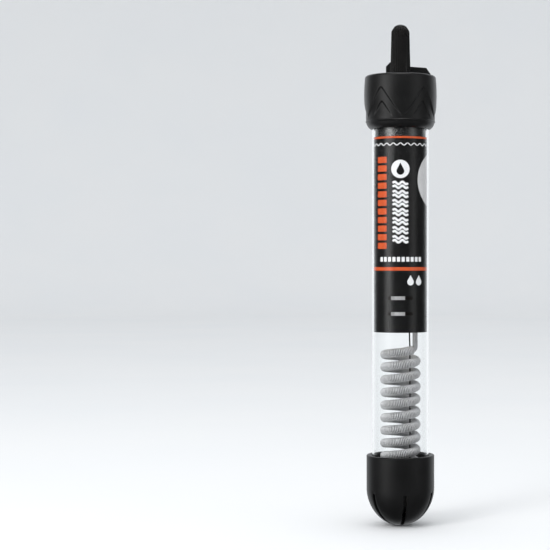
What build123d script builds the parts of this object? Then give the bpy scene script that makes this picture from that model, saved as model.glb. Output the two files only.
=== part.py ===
"""A submersible aquarium heater: glass tube, head with a fluted knob, thermostat, coil and slotted guard.

Millimetres, +Z up. The origin is the guard's lowest point on the tube's axis, and the front faces -Y.
"""

import os
from math import atan2, cos, degrees, radians, sin, tan

from build123d import *

os.makedirs("parts", exist_ok=True)

# glass tube
TUBE_R = 11.0
TUBE_WALL = 0.6
TUBE_BORE_R = TUBE_R - TUBE_WALL
TUBE_DOME_Z = 14.6
TUBE_TOP_Z = 165.0

# slotted guard on the lower end
GUARD_R = 13.1
GUARD_DOME_HEIGHT = 14.5
GUARD_TOP_Z = 27.2
GUARD_GRIP_R = 11.08
GUARD_GRIP_Z = 20.5
GUARD_WALL = 1.7
GUARD_RIM_ROUND = 0.4
GUARD_RIM_BEVEL = 0.8
GUARD_POLE_R = 12.2
SLIT_COUNT = 6
SLIT_WIDTH = 1.35
SLIT_TOP_Z = 13.0
SLIT_INNER_R = 3.6
SLIT_FIRST_ANGLE = 8.0
CUSHION_R = 3.2
CUSHION_BOTTOM_Z = 2.25
CUSHION_TOP_Z = 3.3

# heating coil
COIL_R = 6.13
COIL_STRAND_R = 1.75
COIL_PITCH = 4.89
COIL_TURNS = 9.88
COIL_START_Z = 19.45
LEAD_TOP_Z = 79.7
FEED_LEAD_R = 1.0
FEED_LEAD_RUN = 1.7
FEED_LEAD_BEND_R = 1.5
RETURN_LEAD_R = 0.28
RETURN_LEAD_XY = (3.5, -2.0)
RETURN_INSIDE_XY = (3.7, 1.2)
RETURN_GAP = 0.05
RETURN_BEND_R = 1.5
RETURN_DROPS = (1.5, 6.5)
PAD_TOP_Z = 16.4
PAD_GAP = 0.15

# thermostat sleeve and its label film
SLEEVE_R = 10.3
SLEEVE_BORE_R = 9.5
SLEEVE_BOTTOM_Z = 74.7
SLEEVE_TOP_Z = 149.7
LABEL_BOTTOM_Z = 98.4
LABEL_THICKNESS = 0.1
SLOT_HEIGHTS = (87.9, 81.9)
SLOT_OPENING = 1.4
SLOT_LEFT_X = -4.97
SLOT_RIGHT_X = 4.74
SHIELD_THICKNESS = 1.4

# head plug and its seals
PLUG_R = 9.76
PLUG_SPIGOT_R = 9.2
PLUG_SPIGOT_Z = 143.7
PLUG_FLANGE_R = 10.85
PLUG_FLANGE_Z = 165.8
PLUG_TOP_Z = 168.0
RING_HEIGHTS = {"lower": 156.4, "upper": 160.6}
RING_SECTION_R = 0.79
RING_FLOOR_R = 8.8
RING_GROOVE_HALF = 0.9
BUSH_POCKET_R = 2.75
BUSH_POCKET_Z = 164.4
BUSH_BOTTOM_Z = 165.8

# head cap: a barrel with chevron grips and a block at the back for the cord's gland
CAP_BOTTOM_Z = 153.0
CAP_SOCKET_R = 11.05
CAP_LIP_R = 11.5
CAP_FOOT_CURVE = (12.7, 154.2)
CAP_FOOT = (13.2, 155.6)
CAP_BELLY = (14.05, 166.6)
CAP_SHOULDER = (13.75, 172.4)
CAP_SHOULDER_CURVE = (13.5, 173.2)
CAP_RIM = (12.8, 173.6)
CAP_CAVITY_TOP_Z = 171.5
CHEVRON_COUNT = 5
CHEVRON_FIRST_ANGLE = -32.5
CHEVRON_PEAKS = (169.0, 163.6)
CHEVRON_BASE_Z = 156.0
CHEVRON_SLOPE = 57.0
CHEVRON_STEP = 0.3
HOOD_FRONT_Y = 4.3
HOOD_CLIP_R = 12.75
HOOD_BASE_Z = 172.6
HOOD_TOP = ((-5.65, 177.9), (-4.0, 179.6), (1.0, 179.6), (3.4, 177.9), (10.1, 177.4), (12.0, 174.6))
HOOD_HEIGHT = 10.0
SPINDLE_CLEARANCE = 0.3
CORD_PASSAGE_R = 3.2
CORD_PASSAGE_FRONT_Y = 4.9

# cord gland in the block
GLAND_X = 3.2
GLAND_Z = 172.8
GLAND_R = 3.8
GLAND_BORE_R = 2.5
GLAND_INNER_Y = 7.6
GLAND_OUTER_Y = 13.3

# knob and spindle
KNOB_BOTTOM_Z = 174.7
KNOB_SHOULDER_Z = 190.3
KNOB_TOP_Z = 193.6
KNOB_BASE_R = 3.9
KNOB_SHOULDER_R = 3.52
FLUTE_COUNT = 28
FLUTE_R = 0.3
FLUTE_END_Z = 192.2
SPINDLE_R = 1.5
SPINDLE_FLAT = 1.05
SPINDLE_BOTTOM_Z = 134.3
SPINDLE_TOP_Z = 187.0
FIT_GAP = 0.04
CLIP_Z = 142.9
CLIP_THICKNESS = 0.5
CLIP_R = 2.7
CLIP_SEAT_R = 1.2

# thermostat on its carrier plate
PLATE_WIDTH = 15.0
PLATE_THICKNESS = 1.6
PLATE_FRONT_Y = 3.0
PLATE_BOTTOM_Z = 76.1
NUT_SIZE = (5.0, 4.2, 4.0)
NUT_Z = 135.5
NUT_TONGUE_WIDTH = 1.8
NOSE_WIDTH = 4.8
NOSE_BOTTOM_Z = 131.3
NOSE_GAP = 0.3
STRIP_WIDTH = 5.0
BIMETAL_Y = -1.2
BIMETAL_THICKNESS = 0.6
BIMETAL_BOTTOM_Z = 102.0
BIMETAL_TOP_Z = 128.0
BRACKET_HEIGHT = 4.0
LEAF_Y = 1.6
LEAF_THICKNESS = 0.4
LEAF_BOTTOM_Z = 109.4
LEAF_TOP_Z = 132.2
STRIP_GAP = 0.05
LEAF_BLOCK_GAP = 0.1
CONTACT_Z = 122.0
CONTACT_R = 1.2
CONTACT_HEIGHT = 0.88
RIVET_R = 0.8
RIVET_HEAD_R = 1.4
RIVET_HEAD_HEIGHT = 0.5
TERMINAL_X = 5.0
MAGNET_Z = 126.2
MAGNET_HEIGHT = 2.4
MAGNET_Y = -5.2
MAGNET_SIZE = (9.0, 1.4)
ARMATURE_THICKNESS = 0.8
BRIDGE_LEG_X = 5.6
BRIDGE_THICKNESS = 0.8

# small electrical parts
CAPACITOR_SIZE = (4.0, 3.0, 10.0)
CAPACITOR_X = -2.6
CAPACITOR_Z = 105.0
RESISTOR_R = 1.1
RESISTOR_X = -5.0
RESISTOR_ENDS = (95.0, 102.0)
FUSE_R = 1.15
FUSE_LENGTH = 9.5

# wires inside the head
WIRE_R = 0.85
WIRE_Y = 5.8
WIRE_XS = {"live": 2.1, "neutral": 4.3}
WIRE_ENDS = {"live": 92.0, "neutral": 118.0}
WIRE_BEND_R = 1.1

# lamp behind the sleeve's slots
LAMP_XY = (-0.9, -4.5)
LAMP_R = 2.7
LAMP_BOTTOM_Z = 78.1
LAMP_TOP_Z = 94.0


def facing(angle):
    """Unit direction on the plan, where angle 0 is the front and a positive angle is to the right."""
    return Vector(sin(radians(angle)), -cos(radians(angle)), 0)


def upright_plane(angle, distance=0):
    """Upright plane that faces outwards at an angle on the plan, this far from the tube's axis."""
    outward = facing(angle)
    return Plane(origin=outward * distance, x_dir=Vector(0, 0, 1).cross(outward), z_dir=outward)


def save(piece, name):
    """Label a finished piece and write it as its own file."""
    piece.part.label = name
    export_step(piece.part, f"parts/{name}.step")


# --- glass tube: round bottom, open top ---
with BuildPart() as glass_tube:
    with BuildSketch(Plane.XZ):
        with BuildLine():
            outer_dome = CenterArc((0, TUBE_DOME_Z), TUBE_R, -90, 90)
            outer_wall = Line(outer_dome @ 1, (TUBE_R, TUBE_TOP_Z))
            rim = Line(outer_wall @ 1, (TUBE_BORE_R, TUBE_TOP_Z))
            inner_wall = Line(rim @ 1, (TUBE_BORE_R, TUBE_DOME_Z))
            inner_dome = CenterArc((0, TUBE_DOME_Z), TUBE_BORE_R, 0, -90)
            Line(inner_dome @ 1, outer_dome @ 0)
        make_face()
    revolve(axis=Axis.Z)
save(glass_tube, "glass_tube")


# --- slotted guard and the cushion under the glass ---
def dome(wall):
    """The guard's lower curve, moved inwards by wall: a tight arc at the pole, then a flatter one."""
    rise = GUARD_DOME_HEIGHT - GUARD_POLE_R
    side_r = (GUARD_R**2 + rise**2 - GUARD_POLE_R**2) / (2 * (GUARD_R - GUARD_POLE_R))
    turn = degrees(atan2(side_r - GUARD_R, rise))
    pole_arc = CenterArc((0, GUARD_POLE_R), GUARD_POLE_R - wall, -90, turn)
    side_arc = CenterArc((GUARD_R - side_r, GUARD_DOME_HEIGHT), side_r - wall, turn - 90, 90 - turn)
    return pole_arc, side_arc


with BuildPart() as bottom_guard:
    with BuildSketch(Plane.XZ):
        with BuildLine():
            outer_pole, outer_side = dome(0)
            inner_pole, inner_side = dome(GUARD_WALL)
            Line(outer_pole @ 0, inner_pole @ 0)
            Polyline(
                inner_side @ 1,
                (GUARD_R - GUARD_WALL, GUARD_GRIP_Z),
                (GUARD_GRIP_R, GUARD_GRIP_Z + 0.4),
                (GUARD_GRIP_R, GUARD_TOP_Z - GUARD_RIM_BEVEL),
                (GUARD_GRIP_R + GUARD_RIM_BEVEL, GUARD_TOP_Z),
                (GUARD_R - GUARD_RIM_ROUND, GUARD_TOP_Z),
            )
            lip_centre = (GUARD_R - GUARD_RIM_ROUND, GUARD_TOP_Z - GUARD_RIM_ROUND)
            lip = CenterArc(lip_centre, GUARD_RIM_ROUND, 0, 90)
            Line(lip @ 0, outer_side @ 1)
        make_face()
    revolve(axis=Axis.Z)
    for index in range(SLIT_COUNT):
        with BuildSketch(upright_plane(SLIT_FIRST_ANGLE + index * 360 / SLIT_COUNT, SLIT_INNER_R)):
            Rectangle(SLIT_WIDTH, 2 * SLIT_TOP_Z)
        extrude(amount=GUARD_R, mode=Mode.SUBTRACT)
save(bottom_guard, "bottom_guard")

with BuildPart() as guard_cushion:
    with BuildSketch(Plane.XY.offset(CUSHION_BOTTOM_Z)):
        Circle(CUSHION_R)
    extrude(amount=CUSHION_TOP_Z - CUSHION_BOTTOM_Z)
    fillet(guard_cushion.edges().sort_by(Axis.Z)[-1], radius=0.4)
save(guard_cushion, "guard_cushion")


# --- heating coil, its two leads and the fibre pad in the tube's round bottom ---
with BuildPart() as heating_coil:
    with BuildLine():
        turns = Helix(COIL_PITCH, COIL_PITCH * COIL_TURNS, COIL_R, center=(0, 0, COIL_START_Z))
    with BuildSketch(Plane(origin=turns @ 0, z_dir=turns % 0)):
        Circle(COIL_STRAND_R)
    sweep(is_frenet=True)
save(heating_coil, "heating_coil")

# the thick lead leaves the strand's upper end along its line, then turns up into the sleeve
coil_end = turns @ 1
lead_corner = coil_end + (turns % 1) * FEED_LEAD_RUN
FEED_LEAD_XY = (lead_corner.X, lead_corner.Y)

with BuildPart() as coil_feed_lead:
    with BuildLine():
        route = FilletPolyline(coil_end, lead_corner, (*FEED_LEAD_XY, LEAD_TOP_Z), radius=FEED_LEAD_BEND_R)
    with BuildSketch(Plane(origin=route @ 0, z_dir=route % 0)):
        Circle(FEED_LEAD_R)
    sweep()
save(coil_feed_lead, "coil_feed_lead")

with BuildPart() as coil_return_lead:
    below_coil_z = COIL_START_Z - COIL_STRAND_R - RETURN_LEAD_R - RETURN_GAP
    with BuildLine():
        route = FilletPolyline(
            (*RETURN_LEAD_XY, LEAD_TOP_Z),
            (*RETURN_LEAD_XY, SLEEVE_BOTTOM_Z - RETURN_DROPS[0]),
            (*RETURN_INSIDE_XY, SLEEVE_BOTTOM_Z - RETURN_DROPS[1]),
            (*RETURN_INSIDE_XY, below_coil_z),
            (COIL_R, 0, below_coil_z),
            radius=RETURN_BEND_R,
        )
    with BuildSketch(Plane(origin=route @ 0, z_dir=route % 0)):
        Circle(RETURN_LEAD_R)
    sweep()
save(coil_return_lead, "coil_return_lead")

with BuildPart() as base_pad:
    with BuildSketch(Plane.XZ):
        with BuildLine():
            bowl = CenterArc((0, TUBE_DOME_Z), TUBE_BORE_R - PAD_GAP, -90, 90)
            Polyline(bowl @ 1, (TUBE_BORE_R - PAD_GAP, PAD_TOP_Z), (0, PAD_TOP_Z), bowl @ 0)
        make_face()
    revolve(axis=Axis.Z)
save(base_pad, "base_pad")


# --- thermostat sleeve with two slots, its label film and the shield that closes it ---
with BuildPart() as thermostat_sleeve:
    with BuildSketch(Plane.XZ):
        with BuildLine():
            Polyline(
                (SLEEVE_BORE_R, SLEEVE_BOTTOM_Z),
                (SLEEVE_R, SLEEVE_BOTTOM_Z),
                (SLEEVE_R, LABEL_BOTTOM_Z),
                (SLEEVE_R - LABEL_THICKNESS, LABEL_BOTTOM_Z),
                (SLEEVE_R - LABEL_THICKNESS, SLEEVE_TOP_Z),
                (SLEEVE_BORE_R, SLEEVE_TOP_Z),
                close=True,
            )
        make_face()
    revolve(axis=Axis.Z)
    slot_length = SLOT_RIGHT_X - SLOT_LEFT_X
    with BuildSketch(Plane.XZ):
        for height in SLOT_HEIGHTS:
            with Locations(((SLOT_LEFT_X + SLOT_RIGHT_X) / 2, height)):
                SlotOverall(slot_length, SLOT_OPENING)
    extrude(amount=SLEEVE_R + 1, mode=Mode.SUBTRACT)
save(thermostat_sleeve, "thermostat_sleeve")

with BuildPart() as label_film:
    with BuildSketch(Plane.XY.offset(LABEL_BOTTOM_Z)):
        Circle(SLEEVE_R)
        Circle(SLEEVE_R - LABEL_THICKNESS, mode=Mode.SUBTRACT)
    extrude(amount=SLEEVE_TOP_Z - LABEL_BOTTOM_Z)
save(label_film, "label_film")

with BuildPart() as heat_shield:
    with BuildSketch(Plane.XY.offset(SLEEVE_BOTTOM_Z)):
        Circle(SLEEVE_BORE_R)
        with Locations(FEED_LEAD_XY):
            Circle(FEED_LEAD_R + 0.1, mode=Mode.SUBTRACT)
        with Locations(RETURN_LEAD_XY):
            Circle(RETURN_LEAD_R + 0.1, mode=Mode.SUBTRACT)
    extrude(amount=SHIELD_THICKNESS)
save(heat_shield, "heat_shield")


# --- head plug: neck in the tube, flange over its rim, grooves for two rings ---
with BuildPart() as head_plug:
    with BuildSketch(Plane.XY.offset(PLUG_SPIGOT_Z)):
        Circle(PLUG_SPIGOT_R)
    extrude(amount=SLEEVE_TOP_Z - PLUG_SPIGOT_Z)
    with BuildSketch(Plane.XY.offset(SLEEVE_TOP_Z)):
        Circle(PLUG_R)
    extrude(amount=PLUG_FLANGE_Z - SLEEVE_TOP_Z)
    with BuildSketch(Plane.XY.offset(PLUG_FLANGE_Z)):
        Circle(PLUG_FLANGE_R)
    extrude(amount=PLUG_TOP_Z - PLUG_FLANGE_Z)
    for height in RING_HEIGHTS.values():
        with BuildSketch(Plane.XY.offset(height - RING_GROOVE_HALF)):
            Circle(PLUG_R + 0.5)
            Circle(RING_FLOOR_R, mode=Mode.SUBTRACT)
        extrude(amount=2 * RING_GROOVE_HALF, mode=Mode.SUBTRACT)
    with BuildSketch(Plane.XY.offset(PLUG_SPIGOT_Z)):
        Circle(SPINDLE_R + FIT_GAP)
        for wire_x in WIRE_XS.values():
            with Locations((wire_x, WIRE_Y)):
                Circle(WIRE_R + 0.1)
    extrude(amount=PLUG_TOP_Z - PLUG_SPIGOT_Z, mode=Mode.SUBTRACT)
    with BuildSketch(Plane.XY.offset(BUSH_POCKET_Z)):
        Circle(BUSH_POCKET_R)
    extrude(amount=PLUG_TOP_Z - BUSH_POCKET_Z, mode=Mode.SUBTRACT)
save(head_plug, "head_plug")

for place, height in RING_HEIGHTS.items():
    with BuildPart() as plug_ring:
        with BuildSketch(Plane.XZ):
            with Locations((RING_FLOOR_R + RING_SECTION_R + 0.01, height)):
                Circle(RING_SECTION_R)
        revolve(axis=Axis.Z)
    save(plug_ring, f"plug_ring_{place}")

with BuildPart() as head_gasket:
    with BuildSketch(Plane.XY.offset(TUBE_TOP_Z)):
        Circle(PLUG_FLANGE_R)
        Circle(PLUG_R + 0.02, mode=Mode.SUBTRACT)
    extrude(amount=PLUG_FLANGE_Z - TUBE_TOP_Z)
save(head_gasket, "head_gasket")

with BuildPart() as spindle_bush:
    with BuildSketch(Plane.XY.offset(BUSH_BOTTOM_Z)):
        Circle(BUSH_POCKET_R)
        Circle(SPINDLE_R + FIT_GAP, mode=Mode.SUBTRACT)
    extrude(amount=PLUG_TOP_Z - BUSH_BOTTOM_Z)
save(spindle_bush, "spindle_bush")

with BuildPart() as spindle_ring:
    with BuildSketch(Plane.XZ):
        ring_section_r = (BUSH_POCKET_R - SPINDLE_R) / 2 - 0.03
        with Locations(((BUSH_POCKET_R + SPINDLE_R) / 2 + 0.02, (BUSH_POCKET_Z + BUSH_BOTTOM_Z) / 2)):
            Circle(ring_section_r)
    revolve(axis=Axis.Z)
save(spindle_ring, "spindle_ring")


# --- head cap ---
def barrel(inset):
    """The cap's outer curve, moved inwards by inset, from the foot to the shoulder."""
    points = [(radius - inset, height) for radius, height in (CAP_FOOT, CAP_BELLY, CAP_SHOULDER)]
    return ThreePointArc(*points)


def chevron_step(peak_z, depth):
    """One step of the recesses: a triangle in each grip place, cut to depth under the barrel's skin."""
    arc_reach = (peak_z - CHEVRON_BASE_Z) / tan(radians(CHEVRON_SLOPE))
    reach = CAP_BELLY[0] * sin(arc_reach / CAP_BELLY[0])
    outside_r = CAP_BELLY[0] + 2
    with BuildPart() as step:
        for index in range(CHEVRON_COUNT):
            with BuildSketch(upright_plane(CHEVRON_FIRST_ANGLE + index * 360 / CHEVRON_COUNT)):
                Polygon((0, peak_z), (-reach, CHEVRON_BASE_Z), (reach, CHEVRON_BASE_Z), align=None)
            extrude(amount=outside_r)
        with BuildSketch(Plane.XZ):
            with BuildLine():
                skin = barrel(depth)
                Polyline(skin @ 1, (outside_r, CAP_SHOULDER[1]), (outside_r, CAP_FOOT[1]), skin @ 0)
            make_face()
        revolve(axis=Axis.Z, mode=Mode.INTERSECT)
    return step.part


upper_step = chevron_step(CHEVRON_PEAKS[0], CHEVRON_STEP)
lower_step = chevron_step(CHEVRON_PEAKS[1], 2 * CHEVRON_STEP)

with BuildPart() as hood_block:
    with BuildSketch(Plane.XZ.offset(-HOOD_FRONT_Y)):
        Polygon((HOOD_TOP[0][0], HOOD_BASE_Z), *HOOD_TOP, (HOOD_TOP[-1][0], HOOD_BASE_Z), align=None)
    extrude(amount=-HOOD_CLIP_R)
    with BuildSketch(Plane.XY.offset(HOOD_BASE_Z)):
        Circle(HOOD_CLIP_R)
    extrude(amount=HOOD_HEIGHT, mode=Mode.INTERSECT)

with BuildPart() as head_cap:
    with BuildSketch(Plane.XZ):
        with BuildLine():
            foot = ThreePointArc((CAP_LIP_R, CAP_BOTTOM_Z), CAP_FOOT_CURVE, CAP_FOOT)
            side = barrel(0)
            shoulder = ThreePointArc(side @ 1, CAP_SHOULDER_CURVE, CAP_RIM)
            Polyline(CAP_RIM, (0, CAP_RIM[1]), (0, CAP_BOTTOM_Z), (CAP_LIP_R, CAP_BOTTOM_Z))
        make_face()
    revolve(axis=Axis.Z)
    add(hood_block.part)
    add(upper_step, mode=Mode.SUBTRACT)
    add(lower_step, mode=Mode.SUBTRACT)
    with BuildSketch(Plane.XY.offset(CAP_BOTTOM_Z)):
        Circle(CAP_SOCKET_R)
    extrude(amount=CAP_CAVITY_TOP_Z - CAP_BOTTOM_Z, mode=Mode.SUBTRACT)
    with BuildSketch(Plane.XY.offset(CAP_CAVITY_TOP_Z)):
        Circle(SPINDLE_R + SPINDLE_CLEARANCE)
    extrude(amount=HOOD_HEIGHT, mode=Mode.SUBTRACT)
    with BuildSketch(Plane.XZ.offset(-GLAND_INNER_Y)):
        with Locations((GLAND_X, GLAND_Z)):
            Circle(GLAND_R)
    extrude(amount=-GLAND_OUTER_Y, mode=Mode.SUBTRACT)
    with BuildSketch(Plane.XZ.offset(-CORD_PASSAGE_FRONT_Y)):
        with Locations((GLAND_X, GLAND_Z)):
            Circle(CORD_PASSAGE_R)
    extrude(amount=-(GLAND_INNER_Y - CORD_PASSAGE_FRONT_Y), mode=Mode.SUBTRACT)
save(head_cap, "head_cap")

with BuildPart() as cord_gland:
    with BuildSketch(Plane.XZ.offset(-GLAND_INNER_Y)):
        with Locations((GLAND_X, GLAND_Z)):
            Circle(GLAND_R)
            Circle(GLAND_BORE_R, mode=Mode.SUBTRACT)
    extrude(amount=-(GLAND_OUTER_Y - GLAND_INNER_Y))
save(cord_gland, "cord_gland")


# --- knob, spindle and clip: these turn together ---
with BuildPart() as flute_cuts:
    lean = (KNOB_BASE_R - KNOB_SHOULDER_R) / (KNOB_SHOULDER_Z - KNOB_BOTTOM_Z)
    for index in range(FLUTE_COUNT):
        outward = facing((index + 0.5) * 360 / FLUTE_COUNT)
        axis_direction = Vector(0, 0, 1) - outward * lean
        start = outward * KNOB_BASE_R + Vector(0, 0, KNOB_BOTTOM_Z) - axis_direction
        with BuildSketch(Plane(origin=start, z_dir=axis_direction)):
            Circle(FLUTE_R)
        extrude(amount=FLUTE_END_Z - KNOB_BOTTOM_Z + 1)

with BuildPart() as setting_knob:
    with BuildSketch(Plane.XZ):
        with BuildLine():
            side = Line((KNOB_BASE_R, KNOB_BOTTOM_Z), (KNOB_SHOULDER_R, KNOB_SHOULDER_Z))
            crown = EllipticalCenterArc((0, KNOB_SHOULDER_Z), KNOB_SHOULDER_R, KNOB_TOP_Z - KNOB_SHOULDER_Z)
            Polyline(crown @ 1, (0, KNOB_BOTTOM_Z), side @ 0)
        make_face()
    revolve(axis=Axis.Z)
    add(flute_cuts.part, mode=Mode.SUBTRACT)
    with BuildSketch(Plane.XY.offset(KNOB_BOTTOM_Z)):
        Circle(SPINDLE_R + FIT_GAP)
        with Locations((0, SPINDLE_FLAT + FIT_GAP)):
            Rectangle(4 * SPINDLE_R, 2 * SPINDLE_R, align=(Align.CENTER, Align.MIN), mode=Mode.SUBTRACT)
    extrude(amount=SPINDLE_TOP_Z + FIT_GAP - KNOB_BOTTOM_Z, mode=Mode.SUBTRACT)
save(setting_knob, "setting_knob")

with BuildPart() as knob_spindle:
    with BuildSketch(Plane.XY.offset(SPINDLE_BOTTOM_Z)):
        Circle(SPINDLE_R)
    extrude(amount=SPINDLE_TOP_Z - SPINDLE_BOTTOM_Z)
    with BuildSketch(Plane.XY.offset(KNOB_BOTTOM_Z)):
        with Locations((0, SPINDLE_FLAT)):
            Rectangle(4 * SPINDLE_R, 2 * SPINDLE_R, align=(Align.CENTER, Align.MIN))
    extrude(amount=SPINDLE_TOP_Z - KNOB_BOTTOM_Z, mode=Mode.SUBTRACT)
    with BuildSketch(Plane.XY.offset(CLIP_Z)):
        Circle(SPINDLE_R + 0.5)
        Circle(CLIP_SEAT_R, mode=Mode.SUBTRACT)
    extrude(amount=CLIP_THICKNESS, mode=Mode.SUBTRACT)
save(knob_spindle, "knob_spindle")

with BuildPart() as spindle_clip:
    with BuildSketch(Plane.XY.offset(CLIP_Z)):
        Circle(CLIP_R)
        Circle(CLIP_SEAT_R, mode=Mode.SUBTRACT)
        with Locations((0, 0)):
            Rectangle(2 * CLIP_SEAT_R, CLIP_R, align=(Align.CENTER, Align.MAX), mode=Mode.SUBTRACT)
    extrude(amount=CLIP_THICKNESS)
save(spindle_clip, "spindle_clip")

with BuildPart() as adjuster_nut:
    nut_bottom_z = NUT_Z - NUT_SIZE[2] / 2
    with BuildSketch(Plane.XY.offset(nut_bottom_z)):
        Rectangle(NUT_SIZE[0], NUT_SIZE[1])
        Circle(SPINDLE_R + FIT_GAP, mode=Mode.SUBTRACT)
        tongue_length = PLATE_FRONT_Y + PLATE_THICKNESS - NUT_SIZE[1] / 2
        with Locations((0, NUT_SIZE[1] / 2)):
            Rectangle(NUT_TONGUE_WIDTH, tongue_length, align=(Align.CENTER, Align.MIN))
    extrude(amount=NUT_SIZE[2])
    # the nose's sloping face stands NOSE_GAP in front of the leaf's tip
    tip_y = LEAF_Y - NOSE_GAP
    with BuildSketch(Plane.YZ.offset(-NOSE_WIDTH / 2)):
        with BuildLine():
            Polyline(
                (-1.0, nut_bottom_z),
                (-1.0, NOSE_BOTTOM_Z),
                (tip_y - (LEAF_TOP_Z - NOSE_BOTTOM_Z), NOSE_BOTTOM_Z),
                (NUT_SIZE[1] / 2, LEAF_TOP_Z + NUT_SIZE[1] / 2 - tip_y),
                (NUT_SIZE[1] / 2, nut_bottom_z),
                close=True,
            )
        make_face()
    extrude(amount=NOSE_WIDTH)
save(adjuster_nut, "adjuster_nut")


# --- carrier plate and the parts fixed to it ---
def front_plane(y):
    """Plane that faces the front at depth y: a positive extrusion comes forward, a negative goes back."""
    return Plane.XZ.offset(-y)


with BuildPart() as carrier_plate:
    with BuildSketch(front_plane(PLATE_FRONT_Y)):
        with Locations((0, (PLATE_BOTTOM_Z + PLUG_SPIGOT_Z) / 2)):
            Rectangle(PLATE_WIDTH, PLUG_SPIGOT_Z - PLATE_BOTTOM_Z)
        with Locations((0, NUT_Z)):
            SlotOverall(NUT_SIZE[2] + 5, NUT_TONGUE_WIDTH + 0.3, rotation=90, mode=Mode.SUBTRACT)
        for sign in (-1, 1):
            with Locations((sign * TERMINAL_X, CONTACT_Z)):
                Circle(RIVET_R, mode=Mode.SUBTRACT)
    extrude(amount=-PLATE_THICKNESS)
save(carrier_plate, "carrier_plate")

for side_name, sign in (("left", -1), ("right", 1)):
    with BuildPart() as terminal:
        with BuildSketch(front_plane(PLATE_FRONT_Y)):
            with Locations((sign * TERMINAL_X, CONTACT_Z)):
                Circle(RIVET_HEAD_R)
        extrude(amount=RIVET_HEAD_HEIGHT)
        with BuildSketch(front_plane(PLATE_FRONT_Y)):
            with Locations((sign * TERMINAL_X, CONTACT_Z)):
                Circle(RIVET_R)
        extrude(amount=-PLATE_THICKNESS)
    save(terminal, f"terminal_{side_name}")

with BuildPart() as bimetal_bracket:
    bracket_front_y = BIMETAL_Y + BIMETAL_THICKNESS + STRIP_GAP
    with BuildSketch(front_plane(bracket_front_y)):
        with Locations((0, BIMETAL_BOTTOM_Z)):
            Rectangle(STRIP_WIDTH, BRACKET_HEIGHT, align=(Align.CENTER, Align.MIN))
    extrude(amount=bracket_front_y - PLATE_FRONT_Y)
save(bimetal_bracket, "bimetal_bracket")

with BuildPart() as leaf_block:
    block_front_y = LEAF_Y + LEAF_THICKNESS + LEAF_BLOCK_GAP
    with BuildSketch(front_plane(block_front_y)):
        with Locations((0, LEAF_BOTTOM_Z)):
            Rectangle(STRIP_WIDTH, BRACKET_HEIGHT / 2, align=(Align.CENTER, Align.MIN))
    extrude(amount=block_front_y - PLATE_FRONT_Y)
save(leaf_block, "leaf_block")

with BuildPart() as magnet_bridge:
    with BuildSketch(Plane.XY.offset(MAGNET_Z - MAGNET_HEIGHT / 2)):
        for sign in (-1, 1):
            with Locations((sign * BRIDGE_LEG_X, MAGNET_Y)):
                Rectangle(BRIDGE_THICKNESS, PLATE_FRONT_Y - MAGNET_Y, align=(Align.CENTER, Align.MIN))
        with Locations((0, MAGNET_Y)):
            bar_width = 2 * BRIDGE_LEG_X + BRIDGE_THICKNESS
            Rectangle(bar_width, BRIDGE_THICKNESS, align=(Align.CENTER, Align.MAX))
    extrude(amount=MAGNET_HEIGHT)
save(magnet_bridge, "magnet_bridge")

with BuildPart() as snap_magnet:
    with BuildSketch(front_plane(MAGNET_Y)):
        with Locations((0, MAGNET_Z)):
            Rectangle(MAGNET_SIZE[0], MAGNET_HEIGHT)
    extrude(amount=-MAGNET_SIZE[1])
save(snap_magnet, "snap_magnet")


# --- bimetal strip and its fittings: these bend as one ---
def rivet(front_y, thickness, z):
    """A rivet with its head in front of a strip and its shank through it."""
    with BuildPart() as piece:
        with BuildSketch(front_plane(front_y)):
            with Locations((0, z)):
                Circle(RIVET_HEAD_R)
        extrude(amount=RIVET_HEAD_HEIGHT)
        with BuildSketch(front_plane(front_y)):
            with Locations((0, z)):
                Circle(RIVET_R)
        extrude(amount=-thickness)
    return piece


with BuildPart() as bimetal_strip:
    with BuildSketch(front_plane(BIMETAL_Y)):
        with Locations((0, BIMETAL_BOTTOM_Z)):
            Rectangle(STRIP_WIDTH, BIMETAL_TOP_Z - BIMETAL_BOTTOM_Z, align=(Align.CENTER, Align.MIN))
        for z in (BIMETAL_BOTTOM_Z + BRACKET_HEIGHT / 2, CONTACT_Z):
            with Locations((0, z)):
                Circle(RIVET_R, mode=Mode.SUBTRACT)
    extrude(amount=-BIMETAL_THICKNESS)
save(bimetal_strip, "bimetal_strip")

bimetal_rivet = rivet(BIMETAL_Y, BIMETAL_THICKNESS, BIMETAL_BOTTOM_Z + BRACKET_HEIGHT / 2)
save(bimetal_rivet, "bimetal_rivet")

with BuildPart() as moving_contact:
    with BuildSketch(front_plane(BIMETAL_Y)):
        with Locations((0, CONTACT_Z)):
            Circle(RIVET_R)
    extrude(amount=-BIMETAL_THICKNESS)
    with BuildSketch(front_plane(BIMETAL_Y + BIMETAL_THICKNESS)):
        with Locations((0, CONTACT_Z)):
            Circle(CONTACT_R)
    extrude(amount=-CONTACT_HEIGHT)
save(moving_contact, "moving_contact")

with BuildPart() as armature:
    with BuildSketch(front_plane(BIMETAL_Y)):
        with Locations((0, MAGNET_Z)):
            Rectangle(STRIP_WIDTH, MAGNET_HEIGHT)
    extrude(amount=ARMATURE_THICKNESS)
save(armature, "armature")


# --- adjuster leaf and its fittings: the nut's nose tilts them ---
with BuildPart() as adjuster_leaf:
    leaf_rivet_z = LEAF_BOTTOM_Z + BRACKET_HEIGHT / 4
    with BuildSketch(front_plane(LEAF_Y)):
        with Locations((0, LEAF_BOTTOM_Z)):
            Rectangle(STRIP_WIDTH, LEAF_TOP_Z - LEAF_BOTTOM_Z, align=(Align.CENTER, Align.MIN))
        for z in (leaf_rivet_z, CONTACT_Z):
            with Locations((0, z)):
                Circle(RIVET_R, mode=Mode.SUBTRACT)
    extrude(amount=-LEAF_THICKNESS)
save(adjuster_leaf, "adjuster_leaf")

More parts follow.
